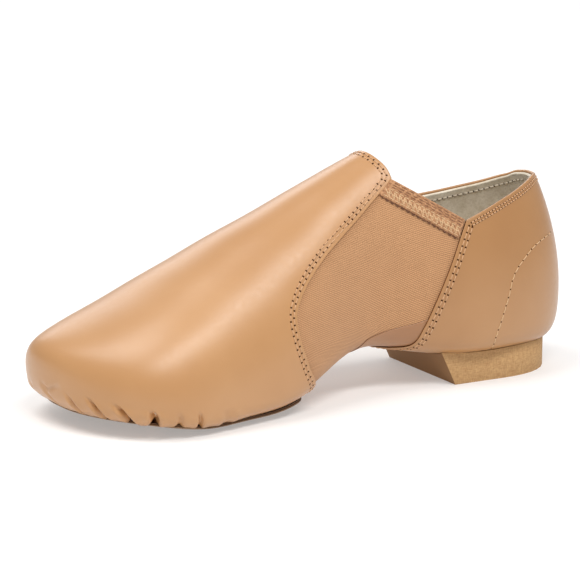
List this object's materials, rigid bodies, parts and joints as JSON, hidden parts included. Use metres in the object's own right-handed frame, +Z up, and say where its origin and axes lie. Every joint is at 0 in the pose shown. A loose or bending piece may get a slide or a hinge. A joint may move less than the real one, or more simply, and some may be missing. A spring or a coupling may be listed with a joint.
{
  "type": "jazz shoe",
  "caption": "Low soft leather slip-on dance shoe with elastic side gores, a split sole and a low block heel.",
  "frame": {"origin": "on the floor, in the middle of the flat base of the heel block", "axes": "+X towards the toe, +Y towards the outer (lateral) side, +Z up"},
  "size_m": [0.241, 0.087, 0.0988],
  "materials": {
    "tan_leather": "smooth satin tan leather",
    "gore_elastic": "ribbed tan elastic",
    "binding_tape": "folded stitched band",
    "sole_suede": "matte suede sole patch",
    "heel_fibre": "matte khaki heel block",
    "lining_felt": "grey-beige brushed lining"
  },
  "bodies": {
    "root": {"upper": "gore_elastic", "vamp": "tan_leather", "quarter": "tan_leather", "gore_binding_lateral": "binding_tape", "gore_binding_medial": "binding_tape", "forefoot_sole": "sole_suede", "heel": "heel_fibre", "insole": "lining_felt"}
  },
  "joints": []
}
